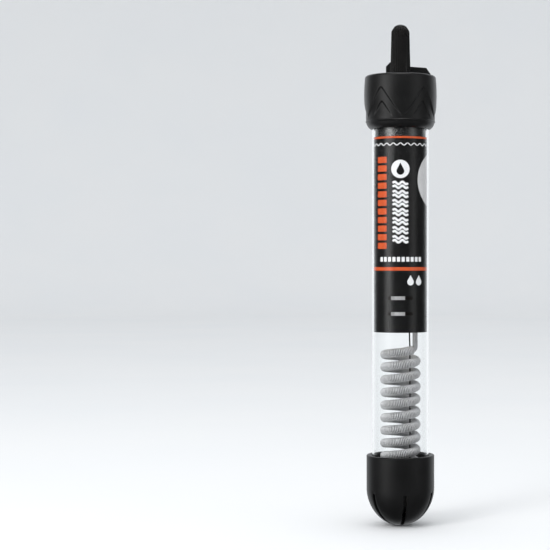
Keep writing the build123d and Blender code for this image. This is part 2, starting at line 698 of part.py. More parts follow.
leaf_rivet = rivet(LEAF_Y, LEAF_THICKNESS, leaf_rivet_z)
save(leaf_rivet, "leaf_rivet")

with BuildPart() as fixed_contact:
    with BuildSketch(front_plane(LEAF_Y)):
        with Locations((0, CONTACT_Z)):
            Circle(CONTACT_R)
    extrude(amount=CONTACT_HEIGHT)
    with BuildSketch(front_plane(LEAF_Y)):
        with Locations((0, CONTACT_Z)):
            Circle(RIVET_R)
    extrude(amount=-LEAF_THICKNESS)
save(fixed_contact, "fixed_contact")


# --- wires, fuse, capacitor, lamp and resistor ---
for wire_name, wire_x in WIRE_XS.items():
    with BuildPart() as wire:
        with BuildLine():
            route = FilletPolyline(
                (wire_x, GLAND_INNER_Y - 0.1, GLAND_Z),
                (wire_x, WIRE_Y, GLAND_Z),
                (wire_x, WIRE_Y, WIRE_ENDS[wire_name]),
                radius=WIRE_BEND_R,
            )
        with BuildSketch(Plane(origin=route @ 0, z_dir=route % 0)):
            Circle(WIRE_R)
        sweep()
    save(wire, f"{wire_name}_wire")

with BuildPart() as thermal_fuse:
    with BuildSketch(Plane.XY.offset(WIRE_ENDS["live"] - FUSE_LENGTH)):
        with Locations((WIRE_XS["live"], WIRE_Y)):
            Circle(FUSE_R)
    extrude(amount=FUSE_LENGTH)
    chamfer(thermal_fuse.edges().filter_by(GeomType.CIRCLE), length=0.3)
save(thermal_fuse, "thermal_fuse")

with BuildPart() as suppressor_capacitor:
    with BuildSketch(front_plane(PLATE_FRONT_Y + PLATE_THICKNESS)):
        with Locations((CAPACITOR_X, CAPACITOR_Z)):
            RectangleRounded(CAPACITOR_SIZE[0], CAPACITOR_SIZE[2], 0.6)
    extrude(amount=-CAPACITOR_SIZE[1])
save(suppressor_capacitor, "suppressor_capacitor")

with BuildPart() as lamp_resistor:
    with BuildSketch(Plane.XY.offset(RESISTOR_ENDS[0])):
        with Locations((RESISTOR_X, PLATE_FRONT_Y - RESISTOR_R)):
            Circle(RESISTOR_R)
    extrude(amount=RESISTOR_ENDS[1] - RESISTOR_ENDS[0])
    fillet(lamp_resistor.edges().filter_by(GeomType.CIRCLE), radius=0.5)
save(lamp_resistor, "lamp_resistor")

with BuildPart() as lamp_base:
    with BuildSketch(Plane.XY.offset(PLATE_BOTTOM_Z)):
        with Locations((LAMP_XY[0], PLATE_FRONT_Y)):
            base_depth = PLATE_FRONT_Y - LAMP_XY[1] + LAMP_R
            RectangleRounded(2 * LAMP_R + 1, base_depth, 1.2, align=(Align.CENTER, Align.MAX))
    extrude(amount=LAMP_BOTTOM_Z - PLATE_BOTTOM_Z)
save(lamp_base, "lamp_base")

with BuildPart() as indicator_lamp:
    with BuildSketch(Plane.XY.offset(LAMP_BOTTOM_Z)):
        with Locations(LAMP_XY):
            Circle(LAMP_R)
    extrude(amount=LAMP_TOP_Z - LAMP_BOTTOM_Z)
    fillet(indicator_lamp.edges().filter_by(GeomType.CIRCLE).sort_by(Axis.Z)[-1], radius=1.6)
save(indicator_lamp, "indicator_lamp")
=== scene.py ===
# %% [markdown]
# # A submersible aquarium heater
# A slim heater stands in a fish tank and keeps the water warm. From the top down it has a fluted
# knob that sets the temperature, a black head cap, a glass tube with a thermostat in a black
# sleeve, a bright heating coil, and a slotted guard that keeps fish and gravel off the hot end.
#
# The frame holds the engineering: sizes, bodies and joints. This script gives each visible piece
# its finished shape and surface. Sizes are written in millimetres and turned into metres once,
# where a mesh is made.

import math

import bmesh
import bpy
from mathutils import Matrix, Vector


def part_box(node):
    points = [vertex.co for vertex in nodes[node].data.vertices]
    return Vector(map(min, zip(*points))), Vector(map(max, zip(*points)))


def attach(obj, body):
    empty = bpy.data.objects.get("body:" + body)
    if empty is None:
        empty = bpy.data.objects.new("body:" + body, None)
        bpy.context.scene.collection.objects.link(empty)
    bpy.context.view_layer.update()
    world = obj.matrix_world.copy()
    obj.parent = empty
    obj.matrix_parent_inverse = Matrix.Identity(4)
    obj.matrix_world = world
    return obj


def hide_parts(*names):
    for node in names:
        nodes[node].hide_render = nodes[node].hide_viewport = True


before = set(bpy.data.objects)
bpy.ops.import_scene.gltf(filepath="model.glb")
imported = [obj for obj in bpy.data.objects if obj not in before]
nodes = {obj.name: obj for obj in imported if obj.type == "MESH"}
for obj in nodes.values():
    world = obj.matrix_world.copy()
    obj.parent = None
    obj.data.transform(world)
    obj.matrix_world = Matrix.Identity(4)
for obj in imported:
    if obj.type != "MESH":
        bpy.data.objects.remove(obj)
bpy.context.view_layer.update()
MM = 0.001


def span(node, axis):
    """Lowest and highest coordinate of a node along one axis, in millimetres."""
    low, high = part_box(node)
    return low[axis] / MM, high[axis] / MM


# %% [markdown]
# ## Camera, floor and light
# The camera looks level at the heater's middle through a long lens, so that the tube's sides stay
# parallel. A little lens shift sets the heater to the right of the frame. The stage is a wide pale
# bowl: a flat floor whose rim curves up into a wall, so a plain backdrop stands behind the heater
# from every side. Mirrors and clear glass look past the bowl to the world's own soft light.

# %% Camera
CAMERA_DISTANCE, CAMERA_RISE = 0.608, 0.0037  # metres; the rise is above the heater's middle
bottom_z, top_z = span("bottom_guard", 2)[0], span("setting_knob", 2)[1]
camera_data = bpy.data.cameras.new("camera")
camera_data.sensor_width = 36
camera_data.lens = 102.8
camera_data.shift_x = -0.228
camera_data.shift_y = -0.018
camera_data.clip_end = 50
camera = bpy.data.objects.new("camera", camera_data)
bpy.context.scene.collection.objects.link(camera)
camera.location = (0, -CAMERA_DISTANCE, (bottom_z + top_z) / 2 * MM + CAMERA_RISE)
camera.rotation_euler = (math.radians(90), 0, 0)
bpy.context.scene.camera = camera
print("the heater stands", round(top_z - bottom_z, 1), "mm tall")


# %% Mesh helpers
def new_object(name, mesh):
    """Put a mesh in the scene as an object at the origin."""
    piece = bpy.data.objects.new(name, mesh)
    bpy.context.scene.collection.objects.link(piece)
    return piece


def finish_mesh(name, bm, sharp_angle=35):
    """Turn a bmesh made in millimetres into a smooth-shaded object in metres."""
    bmesh.ops.remove_doubles(bm, verts=bm.verts, dist=1e-5)
    bmesh.ops.recalc_face_normals(bm, faces=bm.faces)
    bmesh.ops.scale(bm, vec=(MM, MM, MM), verts=bm.verts)
    mesh = bpy.data.meshes.new(name)
    bm.to_mesh(mesh)
    bm.free()
    mesh.shade_smooth()
    mesh.set_sharp_from_angle(angle=math.radians(sharp_angle))
    return new_object(name, mesh)


def arc(centre, radius, start, end, steps=8):
    """Points of a profile's arc: angles in degrees from the outward direction, anticlockwise."""
    turns = [math.radians(start + (end - start) * i / steps) for i in range(steps + 1)]
    return [(centre[0] + radius * math.cos(t), centre[1] + radius * math.sin(t)) for t in turns]


def run(start, end, steps):
    """Evenly spaced points of a profile's straight run."""
    return [
        (start[0] + (end[0] - start[0]) * i / steps, start[1] + (end[1] - start[1]) * i / steps)
        for i in range(steps + 1)
    ]


def rounded(corners, radius=0.3, steps=4):
    """A closed profile whose corners are cut by short arcs of about this radius."""
    points = []
    count = len(corners)
    for index, corner in enumerate(corners):
        here = Vector(corner)
        before = Vector(corners[index - 1]) - here
        after = Vector(corners[(index + 1) % count]) - here
        reach = min(radius, before.length * 0.45, after.length * 0.45)
        start, end = here + before.normalized() * reach, here + after.normalized() * reach
        for step in range(steps + 1):
            t = step / steps
            points.append(tuple(start * (1 - t) ** 2 + here * 2 * t * (1 - t) + end * t**2))
    return points


def lathe(name, profile, segments=128, closed=True, relief=None, sharp_angle=35):
    """Turn a profile of (radius, height) points about the tube's axis.

    relief(angle, radius, height) gives how far the surface stands out there, or in where it is
    negative. The angle is 0 at the front and grows to the right.
    """
    bm = bmesh.new()
    rings = []
    for radius, height in profile:
        if radius < 1e-6:
            rings.append([bm.verts.new((0, 0, height))])
            continue
        ring = []
        for step in range(segments):
            angle = 2 * math.pi * step / segments
            r = radius + (relief(angle, radius, height) if relief else 0)
            ring.append(bm.verts.new((r * math.sin(angle), -r * math.cos(angle), height)))
        rings.append(ring)
    pairs = list(zip(rings, rings[1:] + rings[:1]))
    for low, high in pairs if closed else pairs[:-1]:
        for step in range(segments):
            after = (step + 1) % segments
            corners = [low[step % len(low)], low[after % len(low)]]
            corners += [high[after % len(high)], high[step % len(high)]]
            corners = list(dict.fromkeys(corners))
            if len(corners) > 2:
                bm.faces.new(corners)
    return finish_mesh(name, bm, sharp_angle)


# %% Stage
FLOOR_R, WALL_R = 2500, 1000
stage_profile = [(0, 0), (400, 0), (FLOOR_R, 0)] + arc((FLOOR_R, WALL_R), WALL_R, -90, 0, 16)
stage = lathe("stage", stage_profile, segments=96, closed=False)
stage.data.flip_normals()
stage.visible_glossy = False
stage.visible_transmission = False
# the guard stands on the floor, so the floor goes down with it when it is drawn off the tube
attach(stage, "guard")


# %% Lights
AIM_HEIGHT = 0.1


def soft_box(name, azimuth, distance, height, size, watts):
    """A rectangular light that faces the heater's middle. Azimuth 0 is the front, positive to the right.

    Like a real softbox it is brightest in the middle and fades to its sides. Lengths are in metres.
    """
    data = bpy.data.lights.new(name, "AREA")
    data.use_nodes = True
    n, links = data.node_tree.nodes, data.node_tree.links
    place, split = n.new("ShaderNodeNewGeometry"), n.new("ShaderNodeSeparateXYZ")
    fade = n.new("ShaderNodeMath")
    links.new(place.outputs["Parametric"], split.inputs[0])
    fade.operation = "PINGPONG"
    fade.inputs[1].default_value = 0.5
    links.new(split.outputs["X"], fade.inputs[0])
    soften = n.new("ShaderNodeMapRange")
    soften.interpolation_type = "SMOOTHSTEP"
    soften.inputs["From Max"].default_value = 0.5
    soften.inputs["To Max"].default_value = 2.0
    links.new(fade.outputs[0], soften.inputs["Value"])
    links.new(soften.outputs["Result"], n["Emission"].inputs["Strength"])
    data.shape = "RECTANGLE"
    data.size, data.size_y = size
    data.energy = watts
    light = bpy.data.objects.new(name, data)
    bpy.context.scene.collection.objects.link(light)
    turn = math.radians(azimuth)
    light.location = (distance * math.sin(turn), -distance * math.cos(turn), height)
    aim = Vector((0, 0, AIM_HEIGHT)) - light.location
    light.rotation_euler = aim.to_track_quat("-Z", "Y").to_euler()
    return light


soft_box("gloss_left", azimuth=-50, distance=0.9, height=0.22, size=(0.9, 1.1), watts=1.35)
soft_box("gloss_right", azimuth=55, distance=0.9, height=0.22, size=(0.85, 1.1), watts=0.34)
soft_box("top", azimuth=0, distance=0.25, height=1.3, size=(0.9, 0.9), watts=2.3)
# one more soft light shapes the round parts from the upper left without adding a glare
shaping = soft_box("shaping_left", azimuth=-40, distance=0.8, height=0.62, size=(0.6, 0.6), watts=3.6)
shaping.visible_glossy = False

# %% [markdown]
# The world is an even, pale light. In a studio, black cards beside the camera keep black mouldings
# black. The world does the same: it goes dark for light that has met a gloss and comes from the
# camera's side. Light from behind the heater stays bright, which leaves the tube's outer edges
# bright.

# %% World
BRIGHT, CARD_DARK = 1.04, 0.04
CARD_EDGE, CARD_FULL = -0.8, -0.4  # how far a direction points to the camera: -1 is straight away from it
world = bpy.data.worlds.new("soft studio")
world.use_nodes = True
n, links = world.node_tree.nodes, world.node_tree.links
seen_from, to_camera = n.new("ShaderNodeNewGeometry"), n.new("ShaderNodeVectorTransform")
to_camera.vector_type, to_camera.convert_from, to_camera.convert_to = "VECTOR", "WORLD", "CAMERA"
links.new(seen_from.outputs["Incoming"], to_camera.inputs[0])
parts, card = n.new("ShaderNodeSeparateXYZ"), n.new("ShaderNodeMapRange")
card.inputs["From Min"].default_value = CARD_EDGE
card.inputs["From Max"].default_value = CARD_FULL
links.new(to_camera.outputs[0], parts.inputs[0])
links.new(parts.outputs["Z"], card.inputs["Value"])
ray, met_gloss, dimming = n.new("ShaderNodeLightPath"), n.new("ShaderNodeMath"), n.new("ShaderNodeMath")
met_gloss.operation, dimming.operation = "MINIMUM", "MULTIPLY"
met_gloss.inputs[1].default_value = 1
links.new(ray.outputs["Glossy Depth"], met_gloss.inputs[0])
links.new(met_gloss.outputs[0], dimming.inputs[0])
links.new(card.outputs["Result"], dimming.inputs[1])
strength = n.new("ShaderNodeMapRange")
strength.inputs["To Min"].default_value = BRIGHT
strength.inputs["To Max"].default_value = CARD_DARK
links.new(dimming.outputs[0], strength.inputs["Value"])
links.new(strength.outputs["Result"], n["Background"].inputs["Strength"])
n["Background"].inputs["Color"].default_value = (0.94, 0.97, 1.0, 1)
bpy.context.scene.world = world
bpy.context.scene.view_settings.view_transform = "Standard"

# %% [markdown]
# ## Surfaces
# Real surfaces are never one flat colour. A moulding has a fine grain from its tool, its gloss
# changes where hands touch it, and pale dust or scale gathers in patches. One node group, *Living
# surface*, makes all of these from noise on object coordinates, and each material gives it its own
# colours and sizes. A second group, *Drawn streaks*, stretches noise into fine lines: along the
# tube for drawn glass and rolled strip, and across it for turned metal.


# %% Node group: living surface
def group_socket(tree, name, kind, direction, value=None):
    socket = tree.interface.new_socket(name, in_out=direction, socket_type=kind)
    if value is not None:
        socket.default_value = value


def make_living_surface():
    """Colour in soft patches, roughness that wanders and a fine grain. Scales are per metre."""
    tree = bpy.data.node_groups.new("Living surface", "ShaderNodeTree")
    group_socket(tree, "Color", "NodeSocketColor", "INPUT", (0.5, 0.5, 0.5, 1))
    group_socket(tree, "Patch color", "NodeSocketColor", "INPUT", (0.6, 0.6, 0.6, 1))
    group_socket(tree, "Patch scale", "NodeSocketFloat", "INPUT", 120.0)
    group_socket(tree, "Patch amount", "NodeSocketFloat", "INPUT", 0.5)
    group_socket(tree, "Grain scale", "NodeSocketFloat", "INPUT", 3000.0)
    group_socket(tree, "Roughness", "NodeSocketFloat", "INPUT", 0.5)
    group_socket(tree, "Roughness spread", "NodeSocketFloat", "INPUT", 0.1)
    group_socket(tree, "Color", "NodeSocketColor", "OUTPUT")
    group_socket(tree, "Roughness", "NodeSocketFloat", "OUTPUT")
    group_socket(tree, "Height", "NodeSocketFloat", "OUTPUT")
    n, links = tree.nodes, tree.links
    entry, leave = n.new("NodeGroupInput"), n.new("NodeGroupOutput")
    place = n.new("ShaderNodeTexCoord")
    patches, grain = n.new("ShaderNodeTexNoise"), n.new("ShaderNodeTexNoise")
    patches.inputs["Detail"].default_value = 4
    grain.inputs["Detail"].default_value = 2
    links.new(place.outputs["Object"], patches.inputs["Vector"])
    links.new(place.outputs["Object"], grain.inputs["Vector"])
    links.new(entry.outputs["Patch scale"], patches.inputs["Scale"])
    links.new(entry.outputs["Grain scale"], grain.inputs["Scale"])
    sharpen = n.new("ShaderNodeMapRange")
    sharpen.inputs["From Min"].default_value = 0.38
    sharpen.inputs["From Max"].default_value = 0.68
    links.new(patches.outputs["Fac"], sharpen.inputs["Value"])
    links.new(entry.outputs["Patch amount"], sharpen.inputs["To Max"])
    mix = n.new("ShaderNodeMix")
    mix.data_type = "RGBA"
    links.new(sharpen.outputs["Result"], mix.inputs["Factor"])
    links.new(entry.outputs["Color"], mix.inputs["A"])
    links.new(entry.outputs["Patch color"], mix.inputs["B"])
    links.new(mix.outputs["Result"], leave.inputs["Color"])
    wander = n.new("ShaderNodeMath")
    wander.operation = "MULTIPLY_ADD"
    links.new(patches.outputs["Fac"], wander.inputs[0])
    links.new(entry.outputs["Roughness spread"], wander.inputs[1])
    links.new(entry.outputs["Roughness"], wander.inputs[2])
    links.new(wander.outputs["Value"], leave.inputs["Roughness"])
    links.new(grain.outputs["Fac"], leave.inputs["Height"])
    return tree


LIVING_SURFACE = make_living_surface()


# %% Node group: drawn streaks
def make_drawn_streaks():
    """The height of fine lines, drawn out along the axis whose stretch is small."""
    tree = bpy.data.node_groups.new("Drawn streaks", "ShaderNodeTree")
    group_socket(tree, "Scale", "NodeSocketFloat", "INPUT", 600.0)
    group_socket(tree, "Stretch", "NodeSocketVector", "INPUT", (1.0, 1.0, 0.05))
    group_socket(tree, "Height", "NodeSocketFloat", "OUTPUT")
    n, links = tree.nodes, tree.links
    entry, leave = n.new("NodeGroupInput"), n.new("NodeGroupOutput")
    place, stretch = n.new("ShaderNodeTexCoord"), n.new("ShaderNodeMapping")
    noise = n.new("ShaderNodeTexNoise")
    links.new(place.outputs["Object"], stretch.inputs["Vector"])
    links.new(entry.outputs["Stretch"], stretch.inputs["Scale"])
    links.new(stretch.outputs["Vector"], noise.inputs["Vector"])
    links.new(entry.outputs["Scale"], noise.inputs["Scale"])
    links.new(noise.outputs["Fac"], leave.inputs["Height"])
    return tree


DRAWN_STREAKS = make_drawn_streaks()


# %% Material maker
GRAIN_HEIGHT, STREAK_DEPTH = 0.3, 0.02  # of the grain's width; in millimetres


def finish(
    name,
    colour,
    patch,
    roughness,
    spread=0.12,
    patch_mm=8.0,
    amount=0.5,
    grain_mm=0.35,
    bump=0.1,
    streaks=None,
    **sockets,
):
    """A material from the living surface. Colour and patch are linear RGB; sockets go to the shader itself.

    Patches and grain are as wide as patch_mm and grain_mm say.
    """
    material = bpy.data.materials.new(name)
    material.use_nodes = True
    n, links = material.node_tree.nodes, material.node_tree.links
    shader = n["Principled BSDF"]
    surface = n.new("ShaderNodeGroup")
    surface.node_tree = LIVING_SURFACE
    surface.inputs["Color"].default_value = (*colour, 1)
    surface.inputs["Patch color"].default_value = (*patch, 1)
    surface.inputs["Patch scale"].default_value = 1 / (patch_mm * MM)
    surface.inputs["Patch amount"].default_value = amount
    surface.inputs["Grain scale"].default_value = 1 / (grain_mm * MM)
    surface.inputs["Roughness"].default_value = roughness - spread / 2
    surface.inputs["Roughness spread"].default_value = spread
    links.new(surface.outputs["Color"], shader.inputs["Base Color"])
    links.new(surface.outputs["Roughness"], shader.inputs["Roughness"])
    grain_bump = n.new("ShaderNodeBump")
    grain_bump.inputs["Strength"].default_value = bump
    grain_bump.inputs["Distance"].default_value = grain_mm * MM * GRAIN_HEIGHT
    links.new(surface.outputs["Height"], grain_bump.inputs["Height"])
    if streaks:
        lines = n.new("ShaderNodeGroup")
        lines.node_tree = DRAWN_STREAKS
        lines.inputs["Stretch"].default_value = streaks
        line_bump = n.new("ShaderNodeBump")
        line_bump.inputs["Strength"].default_value = bump
        line_bump.inputs["Distance"].default_value = STREAK_DEPTH * MM
        links.new(lines.outputs["Height"], line_bump.inputs["Height"])
        links.new(line_bump.outputs["Normal"], grain_bump.inputs["Normal"])
    links.new(grain_bump.outputs["Normal"], shader.inputs["Normal"])
    shader.inputs["Emission Color"].default_value = (*colour, 1)
    for socket, value in sockets.items():
        shader.inputs[socket.replace("_", " ")].default_value = value
    return material


# %% Black mouldings
# a high index of refraction gives a black a strong gloss without making it any lighter
cap_black = finish(
    "satin black cap", (0.0025, 0.0025, 0.0026), (0.006, 0.006, 0.0062),
    0.42, bump=0.14, grain_mm=0.25, IOR=2.0,
)
knob_black = finish("knob black", (0.003, 0.0026, 0.0024), (0.008, 0.0068, 0.006), 0.26, bump=0.08, IOR=1.8)
guard_black = finish(
    "guard black", (0.004, 0.004, 0.0042), (0.009, 0.009, 0.0094),
    0.46, bump=0.2, IOR=1.65,
)
neck_black = finish(
    "glossy black neck", (0.002, 0.002, 0.0023), (0.004, 0.004, 0.0045),
    0.27, spread=0.06, bump=0.03, IOR=3.8,
)
sleeve_black = finish(
    "sleeve black", (0.003, 0.003, 0.0032), (0.006, 0.006, 0.0065),
    0.32, spread=0.1, bump=0.05, IOR=1.7,
)
label_black = finish(
    "label black", (0.003, 0.003, 0.0032), (0.0055, 0.0055, 0.006),
    0.34, spread=0.08, bump=0.04, IOR=1.7,
)
rubber = finish("black rubber", (0.008, 0.008, 0.008), (0.018, 0.0175, 0.0165), 0.7, bump=0.3, grain_mm=0.3)

# %% Glass
clear_glass = finish(
    "drawn glass tube",
    (0.985, 0.992, 0.99),
    (0.975, 0.985, 0.982),
    0.01,
    spread=0.012,
    patch_mm=30,
    bump=0.01,
    streaks=(1.0, 1.0, 0.02),
    Metallic=0.0,
    Transmission_Weight=1.0,
    IOR=1.38,
)

# %% Metals
coil_metal = finish(
    "coil wire", (0.68, 0.68, 0.69), (0.52, 0.515, 0.51),
    0.38, patch_mm=5, amount=0.6, bump=0.12, Metallic=0.35,
)
lead_metal = finish(
    "tinned lead", (0.50, 0.50, 0.51), (0.36, 0.36, 0.37),
    0.3, patch_mm=3, bump=0.1, Metallic=0.45,
)
dark_lead = finish("dark lead", (0.05, 0.05, 0.055), (0.1, 0.1, 0.1), 0.4, patch_mm=3, Metallic=1.0)
brass = finish(
    "turned brass", (0.70, 0.47, 0.19), (0.45, 0.28, 0.1),
    0.3, patch_mm=3, streaks=(0.05, 0.05, 1), Metallic=1.0,
)
spring_steel = finish(
    "rolled steel", (0.50, 0.50, 0.51), (0.32, 0.31, 0.30),
    0.34, patch_mm=4, streaks=(1, 1, 0.04), Metallic=1.0,
)
bimetal = finish(
    "rolled bimetal", (0.48, 0.45, 0.38), (0.30, 0.26, 0.2),
    0.36, patch_mm=3, streaks=(1, 1, 0.04), Metallic=1.0,
)
silver = finish("contact silver", (0.86, 0.85, 0.82), (0.55, 0.52, 0.45), 0.22, patch_mm=1, Metallic=1.0)
# the lamp's silvering is given a faint painted glow, which stands in for the bright reflections on it
lamp_silver_painted_glow = finish(
    "silvered lamp glass, painted glow",
    (0.70, 0.70, 0.71),
    (0.55, 0.55, 0.56),
    0.25,
    patch_mm=4,
    Metallic=0.2,
    Emission_Strength=0.45,
)

# %% Boards, fibres, insulation and inks
laminate = finish(
    "dark laminate", (0.022, 0.014, 0.01), (0.036, 0.022, 0.014),
    0.4, patch_mm=1.5, streaks=(1, 1, 0.1),
)
ferrite = finish("ferrite", (0.035, 0.034, 0.034), (0.06, 0.058, 0.055), 0.6, patch_mm=0.6, bump=0.3)
mica = finish("pressed mica", (0.5, 0.44, 0.33), (0.62, 0.58, 0.48), 0.42, patch_mm=1.2, amount=0.8)
# the base pad is coloured near black as painted shade, so that the guard's slits read dark
fibre = finish(
    "fibre in painted shade", (0.02, 0.02, 0.02), (0.035, 0.034, 0.032),
    0.9, patch_mm=0.8, bump=0.7, grain_mm=0.2,
)
brown_wire = finish("brown insulation", (0.09, 0.035, 0.015), (0.13, 0.055, 0.028), 0.4, patch_mm=3)
blue_wire = finish("blue insulation", (0.02, 0.06, 0.22), (0.035, 0.09, 0.3), 0.4, patch_mm=3)
capacitor_paint = finish("dipped capacitor", (0.5, 0.2, 0.02), (0.35, 0.13, 0.012), 0.25, patch_mm=2)
resistor_clay = finish("resistor body", (0.55, 0.42, 0.25), (0.45, 0.33, 0.18), 0.5, patch_mm=1)
pale_plastic = finish("pale socket", (0.6, 0.57, 0.5), (0.5, 0.46, 0.38), 0.5, patch_mm=2)
orange_ink = finish("orange ink", (0.62, 0.085, 0.012), (0.5, 0.06, 0.01), 0.42, patch_mm=1.5, bump=0.05)
white_ink = finish("white ink", (0.80, 0.80, 0.80), (0.68, 0.68, 0.69), 0.45, patch_mm=1.5, bump=0.05)
grey_ink = finish("pale grey ink", (0.60, 0.59, 0.59), (0.52, 0.51, 0.51), 0.45, patch_mm=2, bump=0.05)
stage_paint = finish(
    "pale floor", (0.80, 0.80, 0.80), (0.77, 0.78, 0.79),
    0.8, patch_mm=200, grain_mm=3, bump=0.02,
)
stage.data.materials.append(stage_paint)

# %% [markdown]
# ## Dressing the inner parts
# The thermostat, its fittings, the seals and the wires keep the exact shapes of the frame, because
# machined and pressed parts really do have those shapes. Each one gets the surface it would have:
# brass for turned pins, rolled strip for springs, mica for the heat shield, rubber for the seals.

# %% Surfaces for the parts that keep their frame shape
NODE_FINISH = {
    neck_black: ["head_plug"],
    sleeve_black: ["thermostat_sleeve"],
    label_black: ["label_film"],
    rubber: ["plug_ring_lower", "plug_ring_upper", "head_gasket", "spindle_ring", "guard_cushion"],
    lead_metal: ["coil_feed_lead"],
    dark_lead: ["coil_return_lead"],
    mica: ["heat_shield"],
    fibre: ["base_pad"],
    brass: ["knob_spindle", "adjuster_nut", "terminal_left", "terminal_right", "spindle_bush"],
    spring_steel: ["spindle_clip", "adjuster_leaf", "bimetal_bracket", "magnet_bridge", "armature"],
    bimetal: ["bimetal_strip"],
    silver: ["moving_contact", "fixed_contact", "bimetal_rivet", "leaf_rivet"],
    laminate: ["carrier_plate", "leaf_block"],
    ferrite: ["snap_magnet"],
    brown_wire: ["live_wire"],
    blue_wire: ["neutral_wire"],
    lamp_silver_painted_glow: ["indicator_lamp"],
    pale_plastic: ["lamp_base", "thermal_fuse"],
    capacitor_paint: ["suppressor_capacitor"],
    resistor_clay: ["lamp_resistor"],
}
for material, names in NODE_FINISH.items():
    for name in names:
        for material_slot in nodes[name].material_slots:
            material_slot.material = material
print("dressed", sum(len(names) for names in NODE_FINISH.values()), "frame parts")


def settle(piece, material, body, *replaced):
    """Give a piece its material, make it ride on a body and stand for the frame's own parts."""
    if not piece.data.materials:
        piece.data.materials.append(material)
    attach(piece, body)
    if replaced:
        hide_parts(*replaced)


# %% [markdown]
# ## Glass tube
# The tube is drawn glass with a round, blown end. It is one closed wall, inside and outside, so
# that light bends through it as it does through the real wall and draws the bright lines along both
# sides.

# %% Glass tube
TUBE_R, BORE_R, DOME_Z, TUBE_TOP_Z = 11.0, 10.4, 14.6, 165.0
RIM_SOFTNESS = 0.25
tube_profile = arc((0, DOME_Z), TUBE_R, -90, 0, 24)
tube_profile += run((TUBE_R, DOME_Z + 1), (TUBE_R, TUBE_TOP_Z - RIM_SOFTNESS), 30)
tube_profile += arc((TUBE_R - RIM_SOFTNESS, TUBE_TOP_Z - RIM_SOFTNESS), RIM_SOFTNESS, 15, 90, 4)
tube_profile += run((BORE_R, TUBE_TOP_Z), (BORE_R, DOME_Z + 1), 30) + arc((0, DOME_Z), BORE_R, 0, -90, 24)
glass_tube = lathe("glass_tube_clear", tube_profile, segments=192)
settle(glass_tube, clear_glass, "heater", "glass_tube")
# clear glass lets the room's light through to the parts inside
glass_tube.visible_shadow = False
glass_tube.visible_diffuse = False

# %% [markdown]
# ## Head cap
# The cap is a moulded barrel, a little wider at its shoulder. Five chevrons are pressed into its
# side in two steps, for grip. They come from one rule: how far a point of the wall lies inside a
# chevron's edges. A smooth step turns that distance into depth, so every edge has a moulded
# softness. At the back a block holds the gland where the cord goes in.


# %% Cap shapes
def through(a, b, c, steps):
    """Points of the arc that starts at a, passes b and ends at c."""
    a, b, c = Vector(a), Vector(b), Vector(c)
    ab, ac = b - a, c - a
    area = 2 * (ab.x * ac.y - ab.y * ac.x)
    toward_x = ac.y * ab.length_squared - ab.y * ac.length_squared
    toward_y = ab.x * ac.length_squared - ac.x * ab.length_squared
    centre = a + Vector((toward_x, toward_y)) / area
    start, middle, end = (math.atan2(p.y - centre.y, p.x - centre.x) for p in (a, b, c))
    turn = (end - start) % (2 * math.pi)
    if (middle - start) % (2 * math.pi) > turn:
        turn -= 2 * math.pi
    radius = (a - centre).length
    turns = [start + turn * i / steps for i in range(steps + 1)]
    return [(centre.x + radius * math.cos(t), centre.y + radius * math.sin(t)) for t in turns]


def smooth_step(value, width):
    """0 at or below zero, 1 at width or above, with a soft rise between them."""
    t = min(max(value / width, 0), 1)
    return t * t * (3 - 2 * t)


CHEVRONS, FIRST_ANGLE, BASE_Z, PEAKS = 5, math.radians(-32.5), 156.0, (169.0, 163.6)
SLOPE, STEP_DEPTH, EDGE_WIDTH, FADE_HEIGHT = math.radians(57), 0.45, 0.6, 4.5
TIP_ROUND, TIP_SHARPEN = 0.7, 0.5
BEAD_Z, BEAD_HEIGHT, BEAD_HALF_WIDTH, BARREL_MIN_R = 155.8, 0.28, 0.25, 13.0


def chevron_relief(angle, radius, height):
    """Depth of the two-step chevrons on the barrel's side, and the fine bead under them."""
    if radius < BARREL_MIN_R or not BASE_Z - 0.8 < height < PEAKS[0] + 1:
        return 0
    pitch = 2 * math.pi / CHEVRONS
    off_centre = (angle - FIRST_ANGLE + pitch / 2) % pitch - pitch / 2
    # the tips are rounded, and the recess runs out to nothing at its foot
    across = math.hypot(radius * math.sin(abs(off_centre)), TIP_ROUND) - TIP_SHARPEN
    depth = 0
    for peak in PEAKS:
        inside = (peak - height) * math.cos(SLOPE) - across * math.sin(SLOPE)
        depth -= STEP_DEPTH * smooth_step(inside, EDGE_WIDTH)
    bead = BEAD_HEIGHT * math.exp(-(((height - BEAD_Z) / BEAD_HALF_WIDTH) ** 2))
    return depth * smooth_step(height - BASE_Z, FADE_HEIGHT) + bead


def cut_away(piece, cutter):
    """Cut one closed shape out of another and keep only the result."""
    modifier = piece.modifiers.new("cut", "BOOLEAN")
    modifier.operation = "DIFFERENCE"
    modifier.solver = "EXACT"
    modifier.object = cutter
    depsgraph = bpy.context.evaluated_depsgraph_get()
    mesh = bpy.data.meshes.new_from_object(piece.evaluated_get(depsgraph))
    piece.modifiers.clear()
    piece.data = mesh
    mesh.set_sharp_from_angle(angle=math.radians(35))


GLAND_X, GLAND_Z = 3.2, 172.8


def turned_back(piece):
    """Swing a lathed piece so that its axis points to the back, through the gland's place."""
    swing = Matrix.Rotation(math.radians(-90), 4, "X")
    piece.data.transform(Matrix.Translation((GLAND_X * MM, 0, GLAND_Z * MM)) @ swing)
    return piece


